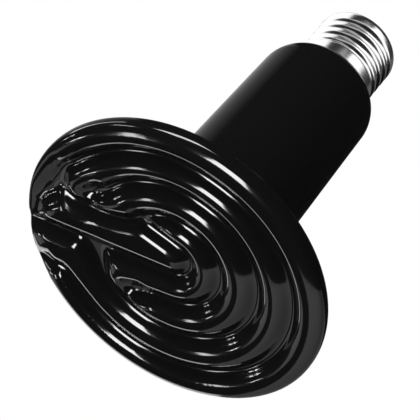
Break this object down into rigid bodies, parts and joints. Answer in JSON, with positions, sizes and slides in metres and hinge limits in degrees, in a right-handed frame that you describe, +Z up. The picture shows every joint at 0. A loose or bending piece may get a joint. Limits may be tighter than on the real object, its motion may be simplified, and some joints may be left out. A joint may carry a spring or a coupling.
{
  "type": "ceramic heat emitter",
  "caption": "Black glazed ceramic heat emitter with a raised coil track on its disc, a hollow neck and a screw cap.",
  "frame": {"origin": "centre of the face, on the plane that the ridge tops touch", "axes": "+Z up the axis from the face to the screw cap; +X points away from the track's open side"},
  "size_m": [0.095, 0.095, 0.1234],
  "materials": {
    "black_glaze": "gloss glaze",
    "plated_metal": "bright nickel plate",
    "cement": "matt",
    "black_glass": "moulded glass",
    "solder": "satin",
    "lead_wire": "drawn wire"
  },
  "bodies": {
    "root": {"ceramic_body": "black_glaze", "screw_shell": "plated_metal", "cap_cement": "cement", "cap_insulator": "black_glass", "centre_contact": "plated_metal", "centre_solder": "solder", "live_lead": "lead_wire", "neutral_lead": "lead_wire", "side_solder": "solder"}
  },
  "joints": []
}
